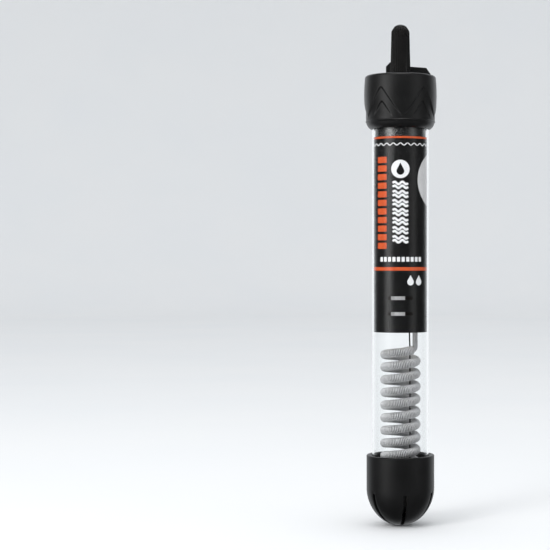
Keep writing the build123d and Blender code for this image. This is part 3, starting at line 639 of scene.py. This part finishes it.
# %% Cap barrel
# the outside runs up from the foot to the shoulder and the rim, and the inside comes back down
CAP_FOOT, CAP_SHOULDER, CAP_RIM = (13.2, 155.6), (13.75, 172.4), (12.8, 173.6)
CAP_BOTTOM_Z, CAP_TOP_Z, CEILING_Z = 153.0, 173.6, 171.5
SPINDLE_HOLE_R, CAP_BORE_R, SEAT_R = 1.8, 11.05, 3.75
side = through(CAP_FOOT, (14.05, 166.6), CAP_SHOULDER, 130)
cap_profile = through((11.5, CAP_BOTTOM_Z), (12.7, 154.2), CAP_FOOT, 8) + side[1:]
cap_profile += through(CAP_SHOULDER, (13.5, 173.2), CAP_RIM, 8)[1:]
cap_profile += [(12.2, CAP_TOP_Z), (6, CAP_TOP_Z), (SPINDLE_HOLE_R + 0.2, CAP_TOP_Z)]
cap_profile += [(SPINDLE_HOLE_R, CAP_TOP_Z - 0.2), (SPINDLE_HOLE_R, CEILING_Z), (CAP_BORE_R, CEILING_Z)]
cap_profile += [(CAP_BORE_R, CAP_BOTTOM_Z + 0.2), (CAP_BORE_R + 0.1, CAP_BOTTOM_Z)]
head_barrel = lathe("head_barrel", cap_profile, segments=560, relief=chevron_relief)
gland_seat = turned_back(lathe("gland_seat", [(0, 6), (SEAT_R, 6), (SEAT_R, 20), (0, 20)], segments=96))
cut_away(head_barrel, gland_seat)
settle(head_barrel, cap_black, "heater", "head_cap")
print("cap barrel faces:", len(head_barrel.data.polygons))

# %% [markdown]
# The block behind the knob rises in a blunt hump with a long slope to the right. Its front is flat
# and its back follows the barrel's round. All of its edges are rounded by a bevel.

# %% Cord block on the cap
HUMP = [(-5.65, 177.9), (-4.0, 179.6), (1.0, 179.6), (3.4, 177.9), (10.1, 177.4), (12.0, 174.6)]
BLOCK_FRONT_Y, BLOCK_BOTTOM_Z, BLOCK_ROUND_R, BLOCK_LEAST_DEPTH = 4.3, 173.0, 12.75, 0.6


def hump_height(x):
    """Top of the block at a place across it."""
    for (x0, z0), (x1, z1) in zip(HUMP, HUMP[1:]):
        if x <= x1:
            return z0 + (z1 - z0) * (x - x0) / (x1 - x0)
    return HUMP[-1][1]


bm = bmesh.new()
columns = []
for x in sorted({x for x, _ in HUMP} | {-5.0 + i * 0.85 for i in range(20)}):
    back_y = max(math.sqrt(BLOCK_ROUND_R**2 - x * x), BLOCK_FRONT_Y + BLOCK_LEAST_DEPTH)
    top = hump_height(x)
    corners = [(BLOCK_FRONT_Y, BLOCK_BOTTOM_Z), (BLOCK_FRONT_Y, top)]
    corners += [(back_y, top), (back_y, BLOCK_BOTTOM_Z)]
    columns.append([bm.verts.new((x, y, z)) for y, z in corners])
for left, right in zip(columns, columns[1:]):
    for i in range(4):
        bm.faces.new((left[i], left[(i + 1) % 4], right[(i + 1) % 4], right[i]))
bm.faces.new(columns[0])
bm.faces.new(reversed(columns[-1]))
bmesh.ops.recalc_face_normals(bm, faces=bm.faces)
ridge = [e for e in bm.edges if len(e.link_faces) == 2 and e.calc_face_angle() > math.radians(28)]
bmesh.ops.bevel(bm, geom=ridge, offset=0.42, segments=4, profile=0.5, affect="EDGES", clamp_overlap=True)
cord_block = finish_mesh("cord_block", bm, sharp_angle=40)
cut_away(cord_block, gland_seat)
bpy.data.objects.remove(gland_seat)
settle(cord_block, cap_black, "heater", "head_cap")

# %% Cord gland
CORD_R, GLAND_R, GLAND_FRONT_Y, GLAND_BACK_Y = 2.5, 3.78, 7.6, 13.3
gland_corners = [(CORD_R, GLAND_FRONT_Y), (GLAND_R, GLAND_FRONT_Y)]
gland_corners += [(GLAND_R, GLAND_BACK_Y), (CORD_R, GLAND_BACK_Y)]
cord_gland = turned_back(lathe("cord_gland_ring", rounded(gland_corners, 0.45), segments=96))
settle(cord_gland, rubber, "heater", "cord_gland")

# %% [markdown]
# ## Setting knob
# The knob has twenty-eight flutes that run straight up and die out just under a smooth crown. A
# round tool cuts such flutes in the mould, so each one is an arc deep. The lathe's relief draws
# that arc.

# %% Setting knob
FLUTES, FLUTE_R, FLUTE_END_Z, FLUTE_RUN_OUT = 28, 0.39, 192.7, 0.7
CROWN_R, CROWN_Z, CROWN_HEIGHT, SKIRT_R, KNOB_BOTTOM_Z = 3.52, 190.3, 3.3, 3.89, 174.7
SOCKET_R, SOCKET_TOP_Z = 1.54, 187.04


def flute_relief(angle, radius, height):
    """Depth of the flutes, with round ends below the crown."""
    if radius < SOCKET_R + 0.16:
        return 0
    pitch = 2 * math.pi / FLUTES
    across = abs((angle % pitch) - pitch / 2) * radius
    below_end = FLUTE_END_Z - height
    if below_end <= 0 or across >= FLUTE_R:
        return 0
    end_softness = math.sqrt(min(below_end / FLUTE_RUN_OUT, 1))
    return -math.sqrt(FLUTE_R**2 - across**2) * end_softness


turns = [math.radians(a) for a in range(3, 90, 3)]
crown = [(CROWN_R * math.cos(t), CROWN_Z + CROWN_HEIGHT * math.sin(t)) for t in turns]
knob_profile = [(SOCKET_R, KNOB_BOTTOM_Z), (SKIRT_R - 0.31, KNOB_BOTTOM_Z)]
knob_profile += arc((SKIRT_R - 0.25, KNOB_BOTTOM_Z + 0.25), 0.25, -60, 0, 3)
knob_profile += run((SKIRT_R, KNOB_BOTTOM_Z + 0.5), (CROWN_R, CROWN_Z), 24) + crown
knob_profile += [(0, CROWN_Z + CROWN_HEIGHT), (0, SOCKET_TOP_Z), (SOCKET_R, SOCKET_TOP_Z)]
setting_knob = lathe(
    "setting_knob_fluted", knob_profile, segments=FLUTES * 14, relief=flute_relief, sharp_angle=50
)
settle(setting_knob, knob_black, "knob", "setting_knob")

# %% [markdown]
# ## Guard
# The guard is a slotted boot in tough plastic. Its slits are cut right through, with soft lips on
# the outside, so the lathe first sinks a shallow valley along each slit and a thin rounded blade
# then cuts the slit itself.

# %% Guard shapes
GUARD_R, GUARD_WALL, GUARD_POLE_R, DOME_HEIGHT = 13.1, 1.7, 12.2, 14.5
SLITS, SLIT_WIDTH, SLIT_TOP_Z, SLIT_INNER_R, SLIT_FIRST = 6, 1.35, 13.0, 3.6, math.radians(8)
LIP_DEPTH, LIP_HALF_WIDTH, LIP_SOFTNESS = 0.16, 0.95, 0.3


def guard_dome(inset):
    """The guard's lower curve: a tight arc at the pole, then a flatter one up to the side."""
    rise = DOME_HEIGHT - GUARD_POLE_R
    side_r = (GUARD_R**2 + rise**2 - GUARD_POLE_R**2) / (2 * (GUARD_R - GUARD_POLE_R))
    turn = math.degrees(math.atan2(side_r - GUARD_R, rise))
    pole = arc((0, GUARD_POLE_R), GUARD_POLE_R - inset, -90, turn - 90, 40)
    return pole + arc((GUARD_R - side_r, DOME_HEIGHT), side_r - inset, turn - 90, 0, 16)[1:]


def slit_relief(angle, radius, height):
    """A soft shallow valley along each slit, on the outside only."""
    outside = height < DOME_HEIGHT and math.hypot(radius, GUARD_POLE_R - height) > GUARD_POLE_R - 0.5
    if not outside or radius < SLIT_INNER_R or height > SLIT_TOP_Z + 0.6:
        return 0
    pitch = 2 * math.pi / SLITS
    across = abs((angle - SLIT_FIRST + pitch / 2) % pitch - pitch / 2) * radius
    return -LIP_DEPTH * smooth_step(LIP_HALF_WIDTH - across, LIP_SOFTNESS)


# %% Guard
GUARD_TOP_Z, RIM_ROUND, GRIP_R = 27.2, 0.4, 11.08
guard_profile = guard_dome(0) + [(GUARD_R, 20)]
guard_profile += arc((GUARD_R - RIM_ROUND, GUARD_TOP_Z - RIM_ROUND), RIM_ROUND, 0, 90, 6)
guard_profile += [(12.0, GUARD_TOP_Z), (11.8, 27.14), (11.2, 26.6)]
guard_profile += [(GRIP_R, 26.35), (GRIP_R, 20.9), (11.4, 20.5)]
guard_profile += list(reversed(guard_dome(GUARD_WALL)))
bottom_guard = lathe("bottom_guard_boot", guard_profile, segments=360, relief=slit_relief)
# each blade's outline, seen from outside, has eased corners and starts below the guard
half = SLIT_WIDTH / 2
outline = rounded([(-half, -2), (half, -2), (half, SLIT_TOP_Z), (-half, SLIT_TOP_Z)], 0.25)
count = len(outline)
bm = bmesh.new()
for index in range(SLITS):
    turn = SLIT_FIRST + index * 2 * math.pi / SLITS
    outward = Vector((math.sin(turn), -math.cos(turn), 0))
    across = Vector((math.cos(turn), math.sin(turn), 0))
    near, far = (
        [bm.verts.new(outward * reach + across * s + Vector((0, 0, z))) for s, z in outline]
        for reach in (SLIT_INNER_R, GUARD_R + 3)
    )
    bm.faces.new(near)
    bm.faces.new(list(reversed(far)))
    for i in range(count):
        bm.faces.new((near[i], far[i], far[(i + 1) % count], near[(i + 1) % count]))
blades = finish_mesh("slit_blades", bm)
cut_away(bottom_guard, blades)
bpy.data.objects.remove(blades)
settle(bottom_guard, guard_black, "guard", "bottom_guard")
print("guard faces:", len(bottom_guard.data.polygons))

# %% [markdown]
# ## Heating coil
# The heater's strand is a fine resistance wire wound tightly round a core, and the strand is then
# wound into the big coil. Geometry Nodes does the same. It draws the big spiral, resamples it
# finely, pushes each point out sideways so that the line winds round the core, and gives it a round
# section.


# %% Geometry Nodes: a wound strand
def node_maker(tree):
    """Short way to add a node with settings and fixed inputs."""

    def add(kind, inputs=None, **settings):
        node = tree.nodes.new(kind)
        for key, value in settings.items():
            setattr(node, key, value)
        for key, value in (inputs or {}).items():
            if isinstance(value, bpy.types.NodeSocket):
                tree.links.new(value, node.inputs[key])
            else:
                node.inputs[key].default_value = value
        return node

    return add


def new_geometry_tree(name, **sockets):
    """A geometry tree with named inputs: name=(kind, default value)."""
    tree = bpy.data.node_groups.new(name, "GeometryNodeTree")
    tree.interface.new_socket("Geometry", in_out="INPUT", socket_type="NodeSocketGeometry")
    tree.interface.new_socket("Geometry", in_out="OUTPUT", socket_type="NodeSocketGeometry")
    for label, (kind, value) in sockets.items():
        group_socket(tree, label.replace("_", " "), "NodeSocket" + kind, "INPUT", value)
    add = node_maker(tree)
    return tree, add, add("NodeGroupInput"), add("NodeGroupOutput")


def grow(piece, tree, **values):
    """Run a geometry tree on a piece and keep the plain mesh."""
    modifier = piece.modifiers.new("grow", "NODES")
    modifier.node_group = tree
    for item in tree.interface.items_tree:
        key = item.name.replace(" ", "_")
        if item.in_out == "INPUT" and key in values:
            modifier[item.identifier] = values[key]
    piece.update_tag()
    depsgraph = bpy.context.evaluated_depsgraph_get()
    mesh = bpy.data.meshes.new_from_object(piece.evaluated_get(depsgraph))
    piece.modifiers.clear()
    piece.data = mesh
    return piece


def make_wound_strand():
    """Node tree of a big spiral of cord with a wire wound round it. Lengths are in metres."""
    tree, add, entry, leave = new_geometry_tree(
        "Wound strand",
        Coil_radius=("Float", 0.006),
        Height=("Float", 0.05),
        Rotations=("Float", 10.0),
        Start_height=("Float", 0.02),
        Cord_radius=("Float", 0.0015),
        Wire_radius=("Float", 0.00025),
        Windings=("Float", 600.0),
        Points=("Int", 6000),
        Wire=("Material", None),
        Cord=("Material", None),
    )
    g = entry.outputs
    spiral = add(
        "GeometryNodeCurveSpiral",
        {
            "Resolution": 64,
            "Rotations": g["Rotations"],
            "Start Radius": g["Coil radius"],
            "End Radius": g["Coil radius"],
            "Height": g["Height"],
            "Reverse": True,
        },
    )
    lift = add("ShaderNodeCombineXYZ", {"Z": g["Start height"]})
    placed = add("GeometryNodeTransform", {"Geometry": spiral.outputs[0], "Translation": lift.outputs[0]})
    fine = add("GeometryNodeResampleCurve", {"Curve": placed.outputs[0], "Count": g["Points"]})
    along = add("GeometryNodeSplineParameter")
    full_turn = add("ShaderNodeMath", {0: g["Windings"], 1: 2 * math.pi}, operation="MULTIPLY")
    travel = {0: along.outputs["Factor"], 1: full_turn.outputs[0]}
    phase = add("ShaderNodeMath", travel, operation="MULTIPLY")
    cos = add("ShaderNodeMath", {0: phase.outputs[0]}, operation="COSINE")
    sin = add("ShaderNodeMath", {0: phase.outputs[0]}, operation="SINE")
    normal, tangent = add("GeometryNodeInputNormal"), add("GeometryNodeInputTangent")
    both_ways = {0: tangent.outputs[0], 1: normal.outputs[0]}
    side_way = add("ShaderNodeVectorMath", both_ways, operation="CROSS_PRODUCT")
    out_a = add("ShaderNodeVectorMath", {0: normal.outputs[0], "Scale": cos.outputs[0]}, operation="SCALE")
    sideways = {0: side_way.outputs[0], "Scale": sin.outputs[0]}
    out_b = add("ShaderNodeVectorMath", sideways, operation="SCALE")
    out = add("ShaderNodeVectorMath", {0: out_a.outputs[0], 1: out_b.outputs[0]}, operation="ADD")
    push = add("ShaderNodeVectorMath", {0: out.outputs[0], "Scale": g["Cord radius"]}, operation="SCALE")
    wound = add("GeometryNodeSetPosition", {"Geometry": fine.outputs[0], "Offset": push.outputs[0]})
    wire_round = add("GeometryNodeCurvePrimitiveCircle", {"Resolution": 6, "Radius": g["Wire radius"]})
    wire = add(
        "GeometryNodeCurveToMesh",
        {"Curve": wound.outputs[0], "Profile Curve": wire_round.outputs[0], "Fill Caps": True},
    )
    wire_done = add("GeometryNodeSetMaterial", {"Geometry": wire.outputs[0], "Material": g["Wire"]})
    cord_path = add("GeometryNodeResampleCurve", {"Curve": placed.outputs[0], "Count": 700})
    cord_round = add("GeometryNodeCurvePrimitiveCircle", {"Resolution": 14, "Radius": g["Cord radius"]})
    cord = add(
        "GeometryNodeCurveToMesh",
        {"Curve": cord_path.outputs[0], "Profile Curve": cord_round.outputs[0], "Fill Caps": True},
    )
    cord_done = add("GeometryNodeSetMaterial", {"Geometry": cord.outputs[0], "Material": g["Cord"]})
    both = add("GeometryNodeJoinGeometry")
    tree.links.new(wire_done.outputs[0], both.inputs[0])
    tree.links.new(cord_done.outputs[0], both.inputs[0])
    real = add("GeometryNodeRealizeInstances", {"Geometry": both.outputs[0]})
    tree.links.new(real.outputs[0], leave.inputs[0])
    return tree


# %% Heating coil
COIL_R, STRAND_R, PITCH, TURNS, START_Z = 6.13, 1.75, 4.89, 9.88, 19.45
WIRE_R, WINDINGS, POINTS_PER_WINDING = 0.24, 720, 12
heating_coil = new_object("heating_coil_wound", bpy.data.meshes.new("coil seed"))
grow(
    heating_coil,
    make_wound_strand(),
    Coil_radius=COIL_R * MM,
    Height=PITCH * TURNS * MM,
    Rotations=TURNS,
    Start_height=START_Z * MM,
    Cord_radius=(STRAND_R - WIRE_R) * MM,
    Wire_radius=WIRE_R * MM,
    Windings=float(WINDINGS),
    Points=WINDINGS * POINTS_PER_WINDING,
    Wire=coil_metal,
    Cord=dark_lead,
)
heating_coil.data.shade_smooth()
settle(heating_coil, coil_metal, "heater", "heating_coil")
print("coil faces:", len(heating_coil.data.polygons))
for axis, letter in enumerate("xyz"):
    reach = [v.co[axis] / MM for v in heating_coil.data.vertices]
    frame_span = [round(v, 2) for v in span("heating_coil", axis)]
    print("coil along", letter, [round(min(reach), 2), round(max(reach), 2)], "in the frame", frame_span)

# %% [markdown]
# ## Prints on the label
# The label is a printed film: orange rules, a white wave line, a scale, a wave column, dashes, a
# round sign, two drops and a pale disc. They are plain signs and carry no lettering. The two rules
# go right round and are made on the lathe. Every other mark is drawn flat, and one geometry tree
# repeats it and rolls it round the sleeve, as a printer's film is rolled.


# %% Geometry Nodes: print rolled round the sleeve
def make_rolled_print():
    """Repeats a flat mark along a step and rolls it round a radius: X goes round, Y goes outwards."""
    tree, add, entry, leave = new_geometry_tree(
        "Rolled print",
        Count=("Int", 1),
        Step=("Vector", (0.0, 0.0, 0.0)),
        Radius=("Float", 0.01),
        Ink=("Material", None),
    )
    g = entry.outputs
    points = add("GeometryNodeMeshLine", {"Count": g["Count"], "Offset": g["Step"]}, mode="OFFSET")
    row = add("GeometryNodeInstanceOnPoints", {"Points": points.outputs[0], "Instance": g["Geometry"]})
    real = add("GeometryNodeRealizeInstances", {"Geometry": row.outputs[0]})
    place = add("GeometryNodeInputPosition")
    parts = add("ShaderNodeSeparateXYZ", {0: place.outputs[0]})
    angle = add("ShaderNodeMath", {0: parts.outputs["X"], 1: g["Radius"]}, operation="DIVIDE")
    reach = add("ShaderNodeMath", {0: g["Radius"], 1: parts.outputs["Y"]}, operation="SUBTRACT")
    sin = add("ShaderNodeMath", {0: angle.outputs[0]}, operation="SINE")
    cos = add("ShaderNodeMath", {0: angle.outputs[0]}, operation="COSINE")
    x = add("ShaderNodeMath", {0: reach.outputs[0], 1: sin.outputs[0]}, operation="MULTIPLY")
    y = add("ShaderNodeMath", {0: reach.outputs[0], 1: cos.outputs[0]}, operation="MULTIPLY")
    front = add("ShaderNodeMath", {0: y.outputs[0], 1: -1.0}, operation="MULTIPLY")
    place_round = {"X": x.outputs[0], "Y": front.outputs[0], "Z": parts.outputs["Z"]}
    rolled = add("ShaderNodeCombineXYZ", place_round)
    moved = add("GeometryNodeSetPosition", {"Geometry": real.outputs[0], "Position": rolled.outputs[0]})
    inked = add("GeometryNodeSetMaterial", {"Geometry": moved.outputs[0], "Material": g["Ink"]})
    tree.links.new(inked.outputs[0], leave.inputs[0])
    return tree


ROLLED_PRINT = make_rolled_print()
LABEL_R, INK, INK_LIFT = 10.3, 0.025, 0.003  # INK is its thickness; INK_LIFT keeps it just off the film
STRIP = 0.6  # a mark is cut in strips this wide, so that it can bend


def print_mark(name, outlines, ink, count=1, step=(0, 0), layer=0):
    """Print flat closed outlines of (distance round from the front, height) on the sleeve."""
    bm = bmesh.new()
    for outline in outlines:
        bm.faces.new([bm.verts.new((s, 0, z)) for s, z in outline])
    bmesh.ops.triangulate(bm, faces=bm.faces)
    reaches = [v.co.x for v in bm.verts]
    for cut in range(math.ceil(min(reaches) / STRIP), math.floor(max(reaches) / STRIP) + 1):
        everything = bm.verts[:] + bm.edges[:] + bm.faces[:]
        bmesh.ops.bisect_plane(bm, geom=everything, plane_co=(cut * STRIP, 0, 0), plane_no=(1, 0, 0))
    bmesh.ops.translate(bm, vec=(0, -INK * layer - INK_LIFT, 0), verts=bm.verts)
    film = bmesh.ops.extrude_face_region(bm, geom=bm.faces[:], use_keep_orig=True)
    lifted = [v for v in film["geom"] if isinstance(v, bmesh.types.BMVert)]
    bmesh.ops.translate(bm, vec=(0, -INK, 0), verts=lifted)
    piece = finish_mesh(name, bm)
    offset = (step[0] * MM, 0, step[1] * MM)
    grow(piece, ROLLED_PRINT, Count=count, Step=offset, Radius=LABEL_R * MM, Ink=ink)
    settle(piece, ink, "heater")


def stroke(path, width):
    """Outline of a line of constant width along a path of (s, z) points."""
    left, right = [], []
    for index, point in enumerate(path):
        before, after = Vector(path[max(index - 1, 0)]), Vector(path[min(index + 1, len(path) - 1)])
        direction = (after - before).normalized()
        offset = Vector((-direction.y, direction.x)) * width / 2
        left.append(tuple(Vector(point) + offset))
        right.append(tuple(Vector(point) - offset))
    return left + right[::-1]


def drop(centre, width, height):
    """Outline of a water drop with its point at the top."""
    radius = width / 2
    low = centre[1] - height / 2 + radius
    tip = centre[1] + height / 2
    tangent = math.degrees(math.asin(radius / (tip - low)))
    return arc((centre[0], low), radius, 180 - tangent, 360 + tangent, 24) + [(centre[0], tip)]


# %% Orange rules and the white wave line
around = 2 * math.pi * LABEL_R
inner, outer = LABEL_R + INK_LIFT, LABEL_R + INK_LIFT + INK
for name, height, thickness in (("upper_rule", 149.25, 0.75), ("lower_rule", 99.05, 1.33)):
    low, high = height - thickness / 2, height + thickness / 2
    rule = lathe(name, [(inner, low), (outer, low), (outer, high), (inner, high)], segments=160)
    settle(rule, orange_ink, "heater")
WAVES, WAVE_Z, WAVE_HEIGHT = 24, 146.6, 0.42
wave_period = around / WAVES
wave_path = [
    (wave_period * i / 12, WAVE_Z + WAVE_HEIGHT * math.cos(2 * math.pi * i / 12))
    for i in range(13)
]
print_mark("wave_line", [stroke(wave_path, 0.34)], white_ink, count=WAVES, step=(wave_period, 0))

# %% Scale, wave column and dashes
bar = [(-5.4, 106.7), (-5.4, 109.05), (-9.8, 109.05), (-9.8, 106.7)]
print_mark("orange_scale", [rounded(bar, 0.35)], orange_ink, count=11, step=(0, 3.28))
wave = [(-2.9 + 5.8 * i / 20, 109.6 + 0.5 * math.sin(2 * math.pi * i / 10)) for i in range(21)]
double_wave = [stroke(wave, 0.85), stroke([(s, z + 1.45) for s, z in wave], 0.85)]
print_mark("white_waves", double_wave, white_ink, count=7, step=(0, 3.45))
dash = rounded([(-8.3, 101.8), (-7.1, 101.8), (-7.1, 103.6), (-8.3, 103.6)], 0.2)
print_mark("white_dashes", [dash], white_ink, count=10, step=(1.75, 0))

# %% Round sign, drops and the pale disc
sign = arc((0, 137.1), 3.5, 0, 352, 45)
print_mark("round_sign", [sign], white_ink)
print_mark("sign_drop", [drop((0, 137.2), 2.9, 4.6)], label_black, layer=1)
print_mark("two_drops", [drop((3.9, 94.7), 2.65, 3.9)], white_ink, count=2, step=(3.6, 0))
disc = arc((math.radians(101.5) * LABEL_R, 133), 11.3, 0, 357, 120)
print_mark("pale_disc", [disc], grey_ink)
